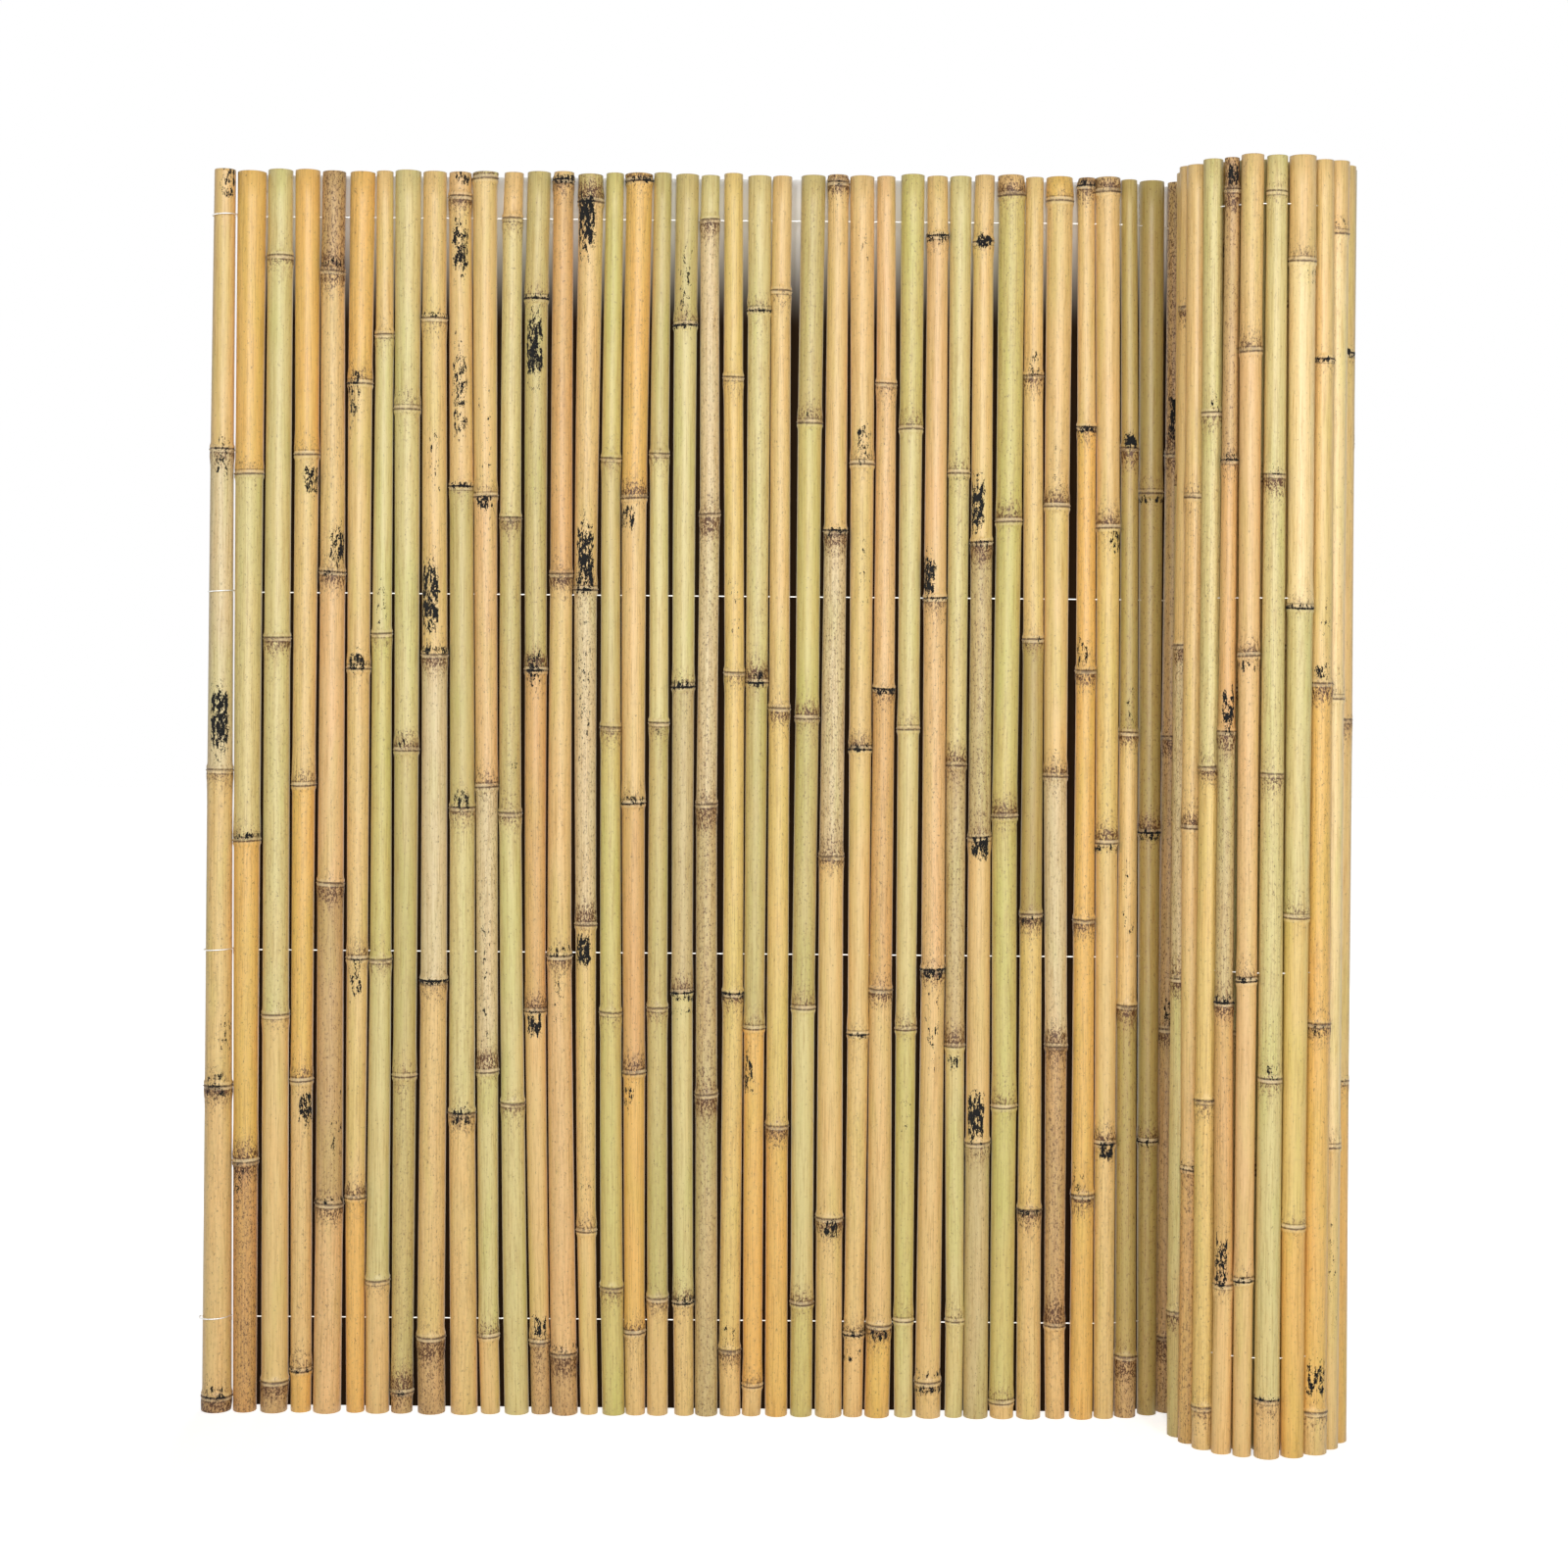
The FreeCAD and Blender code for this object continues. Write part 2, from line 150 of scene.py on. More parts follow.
# each noise: how often it changes across, deep and up in a metre, then its detail and roughness
skinNoise = {
    "grain": ((760, 760, 20), 3.0, 0.6),
    "fine": ((1900, 1900, 60), 1.0, 0.5),
    "cloud": ((50, 50, 8), 2.0, 0.5),
    "blotch": ((440, 440, 200), 4.0, 0.65),
    "freckle": ((640, 640, 400), 2.0, 0.7),
    "clump": ((330, 330, 130), 2.0, 0.6),
    "flake": ((1050, 1050, 520), 2.0, 0.7),
}
skinLook = {
    "greenCast": (0.95, 1.0, 0.90, 1.0),
    "pinkCast": (1.03, 0.98, 0.96, 1.0),
    "grainDark": (0.82, 0.75, 0.62, 1.0),
    "grainPale": (1.08, 1.09, 1.12, 1.0),
    "freckle": (88, 54, 26),
    "stain": (168, 130, 86),
    "waxLine": (236, 212, 166),
    "jointLine": (70, 44, 24),
    "soot": (7, 6, 5),
    "cutFace": (206, 172, 116),
    # painted shade: the inner wall of the bore is coloured dark, as shade inside the hollow
    "bore": (120, 88, 52),
    # where the noise turns to each mark
    "greenEdge": (0.50, 0.68),
    "pinkEdge": (0.50, 0.34),
    "grainDarkEdge": (0.50, 0.63),
    "grainPaleEdge": (0.48, 0.34),
    "stainEdge": (0.49, 0.64),
    "freckleEdge": (0.635, 0.675),
    "brokenEdge": (0.34, 0.50),
    "plainEdge": (0.42, 0.58),
    "mouldEdge": (0.62, 0.635),
    "strayEdge": (0.70, 0.72),
    "poreEdge": (0.45, 0.62),
    "sootStart": (0.03, 0.2),
    # how strong each mark is
    "grainDarkAmount": 0.9,
    "grainPaleAmount": 0.7,
    "stainAmount": 0.75,
    "lineAmount": 0.8,
    "underAmount": 0.5,
    "poreAmount": 0.35,
    # in mm from the joint
    "bloomReach": 36.0,
    "lineEdge": (0.5, 1.4),
    "lipEdge": (2.8, 4.2),
    "underStart": (3.4, 4.0),
    "underEnd": (4.6, 5.4),
    "roughness": {"base": 0.27, "cloud": 0.12, "mould": 0.6, "dirt": 0.2, "cut": 0.3},
    "relief": {"grain": 0.3, "blotch": 0.3, "mould": 0.3, "freckle": 0.2, "line": 0.9},
    "specular": 0.5,
    "bumpStrength": 0.5,
    "bumpHeight": 0.5 * mm,
}


def bambooSkin():
    material, graph = newMaterial("bambooSkin")
    space = graph.attribute("caneSpace", "Vector")
    near = graph.attribute("jointDistance")
    rootSide = graph.attribute("rootSide")
    mottle = graph.attribute("mottle")
    soot = graph.attribute("soot")
    cut = graph.attribute("cutEnd")
    paintedBoreShade = graph.attribute("bore")
    tint = graph.attribute("tint", "Color")

    grain = graph.noise(space, *skinNoise["grain"])
    fine = graph.noise(space, *skinNoise["fine"])
    cloud = graph.noise(space, *skinNoise["cloud"])
    blotch = graph.noise(space, *skinNoise["blotch"])
    freckle = graph.noise(space, *skinNoise["freckle"])
    clump = graph.noise(space, *skinNoise["clump"])
    flake = graph.noise(space, *skinNoise["flake"])

    green = graph.ramp(cloud, *skinLook["greenEdge"])
    colour = graph.mix(green, tint, skinLook["greenCast"], "MULTIPLY")
    pink = graph.ramp(cloud, *skinLook["pinkEdge"])
    colour = graph.mix(pink, colour, skinLook["pinkCast"], "MULTIPLY")
    fibre = grain * 0.7 + fine * 0.3
    darkFibre = graph.ramp(fibre, *skinLook["grainDarkEdge"]) * skinLook["grainDarkAmount"]
    colour = graph.mix(darkFibre, colour, skinLook["grainDark"], "MULTIPLY")
    paleFibre = graph.ramp(fibre, *skinLook["grainPaleEdge"]) * skinLook["grainPaleAmount"]
    colour = graph.mix(paleFibre, colour, skinLook["grainPale"], "MULTIPLY")

    # brown bloom on the root side of each joint, and wherever the cane is mottled
    fading = 1 - graph.ramp(near, 0.0, skinLook["bloomReach"])
    bloom = graph.math("POWER", fading, 1.3) * (0.3 + 0.7 * rootSide)
    dirty = graph.math("MINIMUM", mottle + bloom * (0.12 + mottle), 1.0)
    stained = graph.ramp(blotch * 0.65 + grain * 0.35 + dirty * 0.12, *skinLook["stainEdge"]) * dirty
    colour = graph.mix(stained * skinLook["stainAmount"], colour, linear(skinLook["stain"]))
    speckled = freckle * 0.65 + blotch * 0.35 + dirty * 0.16
    speck = graph.ramp(speckled, *skinLook["freckleEdge"]) * (0.3 + dirty * 0.7)
    colour = graph.mix(speck, colour, linear(skinLook["freckle"]))

    # the joint: a dark broken line in the groove, a pale lip and a fainter line under it
    broken = graph.ramp(blotch, *skinLook["brokenEdge"])
    plain = graph.ramp(cloud, *skinLook["plainEdge"])
    line = (1 - graph.ramp(near, *skinLook["lineEdge"])) * (0.4 + 0.6 * broken)
    underBand = graph.ramp(near, *skinLook["underStart"]) - graph.ramp(near, *skinLook["underEnd"])
    under = underBand * rootSide * broken
    lipBand = 1 - graph.ramp(near, *skinLook["lipEdge"])
    lip = lipBand * (0.35 + 0.65 * rootSide) * (0.25 + 0.45 * plain)
    colour = graph.mix(lip, colour, linear(skinLook["waxLine"]))
    dark = line * skinLook["lineAmount"] + under * skinLook["underAmount"]
    colour = graph.mix(dark, colour, linear(skinLook["jointLine"]))

    # black mould: flecks that thicken to patches where soot is high, and a few stray ones
    ragged = clump * 0.6 + flake * 0.4 + soot * soot * 0.18 + line * soot * 0.1
    patches = graph.ramp(ragged, *skinLook["mouldEdge"]) * graph.ramp(soot, *skinLook["sootStart"])
    stray = graph.ramp(flake * 0.7 + clump * 0.3 + dirty * 0.03, *skinLook["strayEdge"])
    black = graph.math("MAXIMUM", patches, stray)
    colour = graph.mix(black, colour, linear(skinLook["soot"]))

    pores = graph.ramp(freckle, *skinLook["poreEdge"]) * skinLook["poreAmount"]
    wood = graph.mix(pores, linear(skinLook["cutFace"]), linear(skinLook["stain"]))
    colour = graph.mix(cut, colour, wood)
    # painted shade inside the hollow bore
    colour = graph.mix(paintedBoreShade, colour, linear(skinLook["bore"]))

    relief = skinLook["relief"]
    height = grain * relief["grain"] + blotch * relief["blotch"] - black * relief["mould"]
    height = height - speck * relief["freckle"] - line * relief["line"]
    bumpValues = {
        "Strength": skinLook["bumpStrength"],
        "Distance": skinLook["bumpHeight"],
        "Height": height,
    }
    bump = graph.node("ShaderNodeBump", None, bumpValues)
    dulling = skinLook["roughness"]
    rough = dulling["base"] + cloud * dulling["cloud"] + black * dulling["mould"]
    rough = rough + dirty * dulling["dirt"] + cut * dulling["cut"]
    shaderValues = {
        "Base Color": colour,
        "Roughness": rough,
        "Normal": bump,
        "Specular IOR Level": skinLook["specular"],
    }
    shader = graph.node("ShaderNodeBsdfPrincipled", None, shaderValues)
    graph.node("ShaderNodeOutputMaterial", None, {"Surface": shader})
    return material


# Galvanised wire

wireLook = {
    "bright": (250, 250, 247),
    "dull": (222, 220, 214),
    "spangle": ((900, 900, 900), 2.0, 0.5),
    "spangleEdge": (0.4, 0.6),
    "roughness": 0.3,
    "roughSpread": 0.25,
    "metallic": 0.8,
}


def galvanisedWire():
    material, graph = newMaterial("galvanisedWire")
    place = graph.node("ShaderNodeTexCoord", out="Object")
    patch = graph.noise(place, *wireLook["spangle"])
    bright = graph.ramp(patch, *wireLook["spangleEdge"])
    colour = graph.mix(bright, linear(wireLook["dull"]), linear(wireLook["bright"]))
    rough = wireLook["roughness"] + patch * wireLook["roughSpread"]
    shaderValues = {"Base Color": colour, "Roughness": rough, "Metallic": wireLook["metallic"]}
    shader = graph.node("ShaderNodeBsdfPrincipled", None, shaderValues)
    graph.node("ShaderNodeOutputMaterial", None, {"Surface": shader})
    return material


# What each cane looks like, seen from the front.
# lean: how far it stands to the right at its foot, middle and head, in mm.
# tints: one colour for each length between joints, from the foot up.
# marks: black mould, as height and half length in mm, side (-1 left, 1 right) and weight.

tintColours = {
    "straw": (230, 197, 130),
    "lemon": (229, 198, 122),
    "cream": (244, 217, 156),
    "lime": (219, 203, 138),
    "fern": (212, 197, 122),
    "moss": (206, 188, 122),
    # a greener tone, darker as partly painted shade, as on canes 37 and 38 beside the roll
    "olive": (186, 163, 96),
    "honey": (234, 189, 106),
    "tan": (230, 195, 130),
    "rose": (232, 192, 132),
    "clay": (222, 178, 114),
    "rust": (216, 164, 100),
    "bark": (208, 172, 116),
    "chalk": (224, 203, 154),
    "slate": (208, 187, 132),
}

# how dirty a tint is; the others have shapeLook["plainMottle"]
mottledTints = {
    "bark": 0.65,
    "rust": 0.5,
    "slate": 0.45,
    "clay": 0.4,
    "chalk": 0.4,
    "moss": 0.3,
    "olive": 0.35,
}

caneLooks = {
    "cane_01": ((1.5, 0, 0), "bark tan straw chalk tan",
                ((680, 45, 0.1, 1), (935, 24, 0.2, 0.7), (368, 26, 0.6, 0.6), (320, 20, 0, 0.8),
                 (20, 11, 0, 0.8), (1206, 22, 0.5, 0.8))),
    "cane_02": ((1.5, -1.5, -1.5), "rust honey lime honey", ((565, 5, 0, 1), (225, 26, -0.6, 0.7))),
    "cane_03": ((2, -1, -1.5), "bark straw lime lime lime", ()),
    "cane_04": ((3, 1, -0.5), "honey tan honey straw honey",
                ((915, 20, 0.6, 0.9), (298, 22, 0.6, 0.9), (42, 4, 0, 0.9))),
    "cane_05": ((3, 2, 0), "rose bark rose tan bark",
                ((1128, 6, 0, 0.9), (850, 26, 0.6, 0.9), (823, 4, 0, 0.8), (276, 50, 0.6, 0.5),
                 (209, 5, 0, 0.9))),
    "cane_06": ((3, 0, 0), "honey straw straw straw honey",
                ((997, 40, -0.5, 0.8), (737, 13, 0, 0.9), (428, 30, 0, 0.7))),
    "cane_07": ((2, 1, -1), "tan lime fern lime straw", ((792, 28, 0, 0.5),)),
    "cane_08": ((2, 2, -2), "bark moss moss lime lime",
                ((996, 8, 0, 0.5), (660, 10, 0, 0.6), (20, 8, 0, 0.6))),
    "cane_09": ((4, 1, -3), "bark tan chalk straw straw",
                ((802, 50, -0.3, 1), (1078, 4, 0, 1), (749, 5, 0, 1), (424, 4, 0, 1),
                 (935, 40, 0.1, 0.4))),
    "cane_10": ((8, 0, -6), "straw lime moss tan rose",
                ((1212, 10, 0.3, 0.9), (1145, 38, 0.1, 0.9), (1000, 65, 0, 0.75), (911, 5, 0, 1),
                 (602, 12, 0, 0.8), (292, 15, 0, 0.8))),
    "cane_11": ((9, -1, -6), "tan lime chalk rose straw lime",
                ((894, 10, 0, 0.9), (960, 60, 0, 0.35), (443, 90, -0.2, 0.4))),
    "cane_12": ((8, -3, -5), "lime lime moss lime tan", ((634, 9, 0.4, 0.6), (877, 4, 0, 0.5))),
    "cane_13": ((8, -3, -4), "bark tan clay moss moss",
                ((1097, 5, 0, 1), (1048, 44, -0.1, 1), (732, 22, 0, 0.9), (383, 16, 0, 1),
                 (86, 14, 0, 0.9))),
    "cane_14": ((7, -3, -4), "bark rose tan clay tan",
                ((1212, 8, 0, 1), (815, 9, 0, 0.6), (455, 8, 0, 0.8), (410, 40, 0, 0.4),
                 (66, 6, 0, 0.9))),
    "cane_15": ((6, -3, -3), "straw straw chalk tan moss",
                ((1170, 40, -0.3, 1), (840, 50, 0, 1), (704, 80, 0, 0.55), (456, 22, -0.2, 1),
                 (225, 16, 0, 0.4))),
    "cane_16": ((6, -3, -3), "fern fern fern moss fern", ()),
    "cane_17": ((4, -3, -3), "tan honey clay tan honey honey",
                ((1212, 6, -0.5, 0.9), (882, 16, -0.6, 0.9), (603, 8, 0, 0.9), (313, 14, -0.6, 0.8))),
    "cane_18": ((3, -2, -2), "tan moss moss lime moss", ((672, 11, 0, 0.5),)),
    "cane_19": ((4, -2, -3), "straw lime slate lime moss",
                ((1110, 48, 0, 0.5), (1070, 6, 0, 0.9), (717, 8, 0, 1), (412, 8, 0, 1),
                 (394, 6, -0.6, 0.7), (113, 7, 0, 0.9))),
    "cane_20": ((3, -1, -3), "slate slate chalk chalk lime", ()),
    "cane_21": ((3, 1, -4), "straw lemon lemon lemon lemon",
                ((796, 38, 0, 0.4), (413, 8, 0, 1), (80, 15, 0, 0.6))),
    "cane_22": ((1, 0, -1), "tan honey moss lime lime",
                ((1086, 7, 0, 0.9), (722, 11, 0, 0.9), (340, 28, -0.6, 0.8))),
    "cane_23": ((2, 0, -2), "honey lemon straw tan", ()),
    "cane_24": ((0, -1, 2), "fern lime moss fern moss", ((978, 12, -0.4, 0.5),)),
    "cane_25": ((1, 0, 0), "straw straw chalk tan bark",
                ((1208, 10, 0, 0.6), (868, 8, 0, 0.9), (185, 11, 0, 0.9))),
    "cane_26": ((0, 1, -1), "tan straw straw straw tan",
                ((1140, 30, 0, 0.35), (955, 24, 0, 0.7), (830, 34, 0.2, 0.4), (656, 6, 0, 1),
                 (374, 5, 0, 0.9), (82, 8, 0, 0.9), (60, 8, -0.6, 0.8))),
    "cane_27": ((0, 1, -1), "honey tan clay rose rose", ((713, 5, 0, 1), (80, 10, 0, 0.9))),
    "cane_28": ((0, 0, -1), "lime fern lime lime fern", ((295, 30, 0, 0.3),)),
    "cane_29": ((0, 0, -1), "tan tan rose rose tan",
                ((1158, 7, 0, 1), (827, 28, -0.7, 1), (803, 4, 0, 0.9), (436, 8, 0, 1),
                 (385, 52, 0, 0.5), (44, 8, -0.6, 0.8), (28, 6, 0, 1))),
    "cane_30": ((2, 0, -1), "lime lime slate lime lime", ((922, 5, 0, 0.6), (350, 9, -0.1, 0.9))),
    "cane_31": ((1, 0, 0), "slate tan slate straw tan",
                ((1155, 9, 0, 1), (895, 36, -0.5, 1), (858, 5, 0, 0.8), (560, 16, 0, 1),
                 (296, 32, -0.2, 1))),
    "cane_32": ((1, 0, 0), "tan fern fern fern fern tan", ()),
    "cane_33": ((2, 0, -2), "straw lemon olive straw straw",
                ((1035, 15, 0, 0.7), (760, 8, 0, 0.5), (489, 5, 0, 1), (202, 4, 0, 1))),
    "cane_34": ((3, -1, -3), "tan bark chalk straw tan honey",
                ((935, 32, 0, 0.35), (650, 24, 0, 0.35))),
    "cane_35": ((2, 0, -2), "honey honey honey honey tan bark",
                ((1213, 5, 0, 0.9), (971, 5, 0, 1), (752, 18, -0.5, 0.8), (237, 22, -0.5, 0.6),
                 (217, 4, 0, 0.7))),
    "cane_36": ((2, 0, -4), "straw straw lemon tan tan",
                ((862, 17, 0.6, 0.8), (560, 6, 0, 1), (263, 15, 0, 0.9))),
    # canes 37 and 38 stand beside the roll; their olive tint is partly painted shade
    "cane_37": ((2, 0, -4), "bark olive straw olive olive",
                ((962, 11, 0, 1), (700, 30, 0, 0.45), (512, 54, 0, 0.4))),
    "cane_38": ((3, 1, -2), "olive olive olive olive",
                ((903, 5, 0, 1), (572, 8, 0, 1), (269, 6, 0, 0.9))),
    "cane_39": ((2, 2, 2), "bark bark bark bark bark", ((985, 38, 0, 1), (397, 22, 0, 0.8))),
    "cane_48": ((0, 0, 0), "moss moss moss moss", ()),
    "cane_49": ((0, 0, 0), "honey straw straw straw", ((1040, 6, 0, 0.9), (345, 12, 0, 0.6))),
    "cane_50": ((0, 0, 0), "straw cream cream tan", ((1158, 9, 0, 0.5), (165, 60, 0.2, 0.35))),
    "cane_51": ((0, 0, 0), "straw honey honey straw straw",
                ((1030, 5, 0, 0.8), (735, 9, 0, 0.9), (398, 7, 0, 0.9), (70, 22, 0, 0.9),
                 (770, 40, 0.3, 0.4))),
    "cane_52": ((0, 0, 0), "honey lemon lime cream tan", ((797, 4, 0, 0.9), (1108, 9, 0.8, 0.6))),
    "cane_53": ((0, 0, 0), "tan lime lime lime lime lime",
                ((922, 9, 0, 0.5), (360, 11, 0, 0.6), (56, 5, 0, 0.9))),
    "cane_54": ((0, 0, 0), "tan rose rose rose tan",
                ((742, 7, 0, 0.9), (447, 5, 0, 0.9), (166, 5, 0, 0.9))),
    "cane_55": ((0, 0, 0), "tan clay slate clay bark bark",
                ((1203, 15, 0, 1), (937, 6, 0, 1), (700, 28, 0, 0.9), (426, 6, 0, 1),
                 (180, 34, -0.4, 0.9))),
    "cane_56": ((0, 0, 0), "tan lemon lemon lime lime", ((985, 16, 0, 0.35), (330, 8, 0, 0.4))),
    "cane_57": ((0, 0, 0), "clay tan tan tan", ((262, 6, 0, 0.8),)),
}
plainLooks = (
    "tan straw lime straw moss tan",
    "lime fern straw lime tan straw",
    "honey tan straw tan lime tan",
    "moss lime chalk straw tan honey",
)

shapeLook = {
    "frontSides": 32,
    "hiddenSides": 16,
    "plainStep": 28 * mm,
    "markStep": 4 * mm,
    # height of each form at a joint, then its place towards the root and its half width, both in mm
    "lip": (1.1 * mm, 1.0, 0.7),
    "ridge": (0.9 * mm, -2.2, 2.0),
    "swell": (0.9 * mm, 6.5, 7.0),
    "jointReach": 20 * mm,
    "kink": 1.1 * mm,
    "kinkDepth": 0.4,
    "edgeCanes": ("cane_41", "cane_42", "cane_48", "cane_49", "cane_53", "roll_back"),
    "edgeShare": 0.3,
    "ovality": 0.03,
    "unevenness": (0.2, 1),
    "jointSlant": 0.7 * mm,
    "slantFade": (3.0, 9.0),
    "edge": 0.3 * mm,
    "ringRoom": 0.25 * mm,
    "wall": 4 * mm,
    "boreDepth": 0.5 * mm,
    "boreRoom": 2 * mm,
    "boreStop": 1 * mm,
    "headSpare": 3 * mm,
    "farFromJoint": 60,
    "plainMottle": 0.25,
    "mottleSpread": (0.6, 1.3),
    "jointMottle": (0.05, 0.7),
    "mottleShares": (0.3, 0.7),
    "mottleFade": 14,
    "patternStep": 0.37,
    "markReach": 1.2,
    "markRise": 1.6,
    # a mark this short sits at a joint and goes all round, in loose flecks
    "smallMark": 8,
    "smallMarkShare": 0.82,
    "allRound": 2.0,
    "patchTurn": 1.2,
    "patchSpread": 0.3,
    "patchEdge": (0.8, 1.1),
    "weld": 0.02 * mm,
}
jointOffsets = (-13, -9, -6.5, -4.5, -3, -2, -1.4, -1, -0.6, 0, 0.6, 1.2, 2, 3, 4.5, 7, 11)
ringFloats = (
    "ringRadius", "ringHeight", "bowAcross", "bowDeep", "jointDistance", "rootSide",
    "mottle", "soot", "sootSide", "cutEnd", "bore",
)


# How a cane's sizes are found in its solid
readRules = {
    "weld": 0.001 * mm,
    "sameLevel": 0.01 * mm,
    "ridge": 0.45 * mm,
    "jointRoom": 4 * mm,
}


def readShaft(points):
    top = max(point.z for point in points)
    feet = [point for point in points if point.z < readRules["sameLevel"]]
    heads = [point for point in points if point.z > top - readRules["sameLevel"]]
    acrossFeet = [point.x for point in feet]
    deepFeet = [point.y for point in feet]
    axis = ((min(acrossFeet) + max(acrossFeet)) / 2, (min(deepFeet) + max(deepFeet)) / 2)

    def reach(point):
        return math.hypot(point.x - axis[0], point.y - axis[1])
    foot = max(reach(point) for point in feet)
    head = max(reach(point) for point in heads)

    def raised(point):
        return reach(point) - foot - (head - foot) * point.z / top > readRules["ridge"]
    groups = []
    for height in sorted(point.z for point in points if raised(point)):
        if not groups or height - groups[-1][0] > readRules["jointRoom"]:
            groups.append([])
        groups[-1].append(height)
    joints = [(group[0] + group[-1]) / 2 for group in groups]
    return {"axis": axis, "foot": foot, "head": head, "top": top, "joints": joints}


# The canes of one node, told apart by which points are linked
def readNode(name):
    shape = bmesh.new()
    shape.from_mesh(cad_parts[name].data)
    bmesh.ops.remove_doubles(shape, verts=shape.verts, dist=readRules["weld"])
    waiting = set(shape.verts)
    shafts = []
    while waiting:
        start = waiting.pop()
        found = [start]
        edge = [start]
        while edge:
            vertex = edge.pop()
            for link in vertex.link_edges:
                other = link.other_vert(vertex)
                if other in waiting:
                    waiting.remove(other)
                    found.append(other)
                    edge.append(other)
        shafts.append(readShaft([vertex.co.copy() for vertex in found]))
    shape.free()
    return sorted(shafts, key=lambda shaft: shaft["axis"])


def jointProfile(distance, rootwards):
    away = distance / mm if rootwards else -distance / mm        # positive towards the root

    def bump(name):
        height, place, halfWidth = shapeLook[name]
        return height * math.exp(-((away - place) / halfWidth) ** 2)
    return bump("lip") + bump("ridge") + bump("swell")


# A smooth curve through three values, at shares 0, 0.5 and 1
def between(low, middle, high, share):
    curve = low * (1 - share) * (1 - 2 * share) + middle * 4 * share * (1 - share)
    return curve + high * share * (2 * share - 1)


# Rings of one cane from the bore at its foot, round the outside, to the bore at its head
def caneRings(shaft, look, seed, fine, relief):
    lean, tints, marks = look
    chance = random.Random(seed)
    joints = shaft["joints"]
    top = shaft["top"] - chance.uniform(0, shapeLook["headSpare"])
    thickFoot = shaft["foot"] > shaft["head"]
    least, spread = shapeLook["jointMottle"]
    jointMottle = [least + spread * chance.random() ** 2 for _ in joints]
    lengthMottle = []
    for tint in tints.split():
        usual = mottledTints.get(tint, shapeLook["plainMottle"])
        lengthMottle.append(usual * chance.uniform(*shapeLook["mottleSpread"]))
    kinks = [(0, 0)] + [(chance.uniform(-1, 1), chance.uniform(-1, 1)) for _ in joints] + [(0, 0)]
    kinkHeights = [0] + joints + [shaft["top"]]
    colours = [linear(tintColours[name]) for name in tints.split()]
    edge = shapeLook["edge"]

    heights = {edge, top - edge}
    steps = int(top / shapeLook["plainStep"])
    heights.update(top * index / steps for index in range(1, steps))
    for joint in joints:
        heights.update(joint + offset * mm for offset in (jointOffsets if fine else jointOffsets[::3]))
    for height, halfLength, side, weight in marks:
        count = max(3, int(halfLength * mm / shapeLook["markStep"]) * 2 + 1)
        reach = halfLength * shapeLook["markReach"]
        heights.update((height + reach * (2 * k / (count - 1) - 1)) * mm for k in range(count))
    kept = []
    for height in sorted(heights):
        if edge <= height <= top - edge and (not kept or height - kept[-1] > shapeLook["ringRoom"]):
            kept.append(height)

    def ring(height, radius, cut, bore):
        joint = min(joints, key=lambda place: abs(place - height))
        index = joints.index(joint)
        length = sum(1 for place in joints if place < height)
        rise = height / shaft["top"]
        segment = max(k for k in range(len(kinkHeights) - 1) if kinkHeights[k] <= height or k == 0)
        span = kinkHeights[segment + 1] - kinkHeights[segment]
        part = (height - kinkHeights[segment]) / span
        bend = [kinks[segment][axis] * (1 - part) + kinks[segment + 1][axis] * part for axis in (0, 1)]
        soot, side = 0.0, 0.0
        for place, halfLength, markSide, weight in marks:
            small = halfLength <= shapeLook["smallMark"]
            room = 1 - abs(height / mm - place) / (halfLength * shapeLook["markReach"])
            share = shapeLook["smallMarkShare"] if small else 1
            strength = weight * min(1, room * shapeLook["markRise"]) * share
            if room > 0 and strength > soot:
                soot = strength
                side = shapeLook["allRound"] if small else markSide
        rootSide = (height < joint) == thickFoot
        distance = min(abs(height - joint) / mm, shapeLook["farFromJoint"])
        jointShare = math.exp(-distance / shapeLook["mottleFade"]) * shapeLook["mottleShares"][rootSide]
        tintIndex = min(length, len(colours) - 1)
        mottle = lengthMottle[tintIndex] + jointMottle[index] * jointShare
        return {
            "ringRadius": radius,
            "ringHeight": height,
            "bowAcross": between(*lean, rise) * mm + bend[0] * shapeLook["kink"] * relief,
            "bowDeep": bend[1] * shapeLook["kink"] * shapeLook["kinkDepth"] * relief,
            "jointDistance": distance,
            "rootSide": float(rootSide),
            "mottle": min(mottle, 1.0),
            "soot": soot,
            "sootSide": side,
            "cutEnd": cut,
            "bore": bore,
            "tint": colours[tintIndex],
        }

    def outside(height):
        radius = shaft["foot"] + (shaft["head"] - shaft["foot"]) * height / shaft["top"]
        for joint in joints:
            if abs(height - joint) < shapeLook["jointReach"]:
                radius += jointProfile(abs(height - joint), (height < joint) == thickFoot) * relief
        return radius

    footBore = shaft["foot"] - shapeLook["wall"]
    headBore = shaft["head"] - shapeLook["wall"]
    footFloor = min(joints[0] - shapeLook["boreRoom"], top)
    headFloor = min(joints[-1] + shapeLook["boreRoom"], top - shapeLook["boreStop"])
    rings = [ring(footFloor, 0, 0, 1), ring(footFloor, footBore, 0, 1)]
    rings += [ring(shapeLook["boreDepth"], footBore, 0, 1)]
    rings += [ring(0, footBore, 1, 0), ring(0, shaft["foot"] - edge, 1, 0)]
    rings += [ring(height, outside(height), 0, 0) for height in kept]
    rings += [ring(top, shaft["head"] - edge, 1, 0), ring(top, headBore, 1, 0)]
    rings += [ring(top - shapeLook["boreDepth"], headBore, 0, 1)]
    rings += [ring(headFloor, headBore, 0, 1), ring(headFloor, 0, 0, 1)]
    return rings


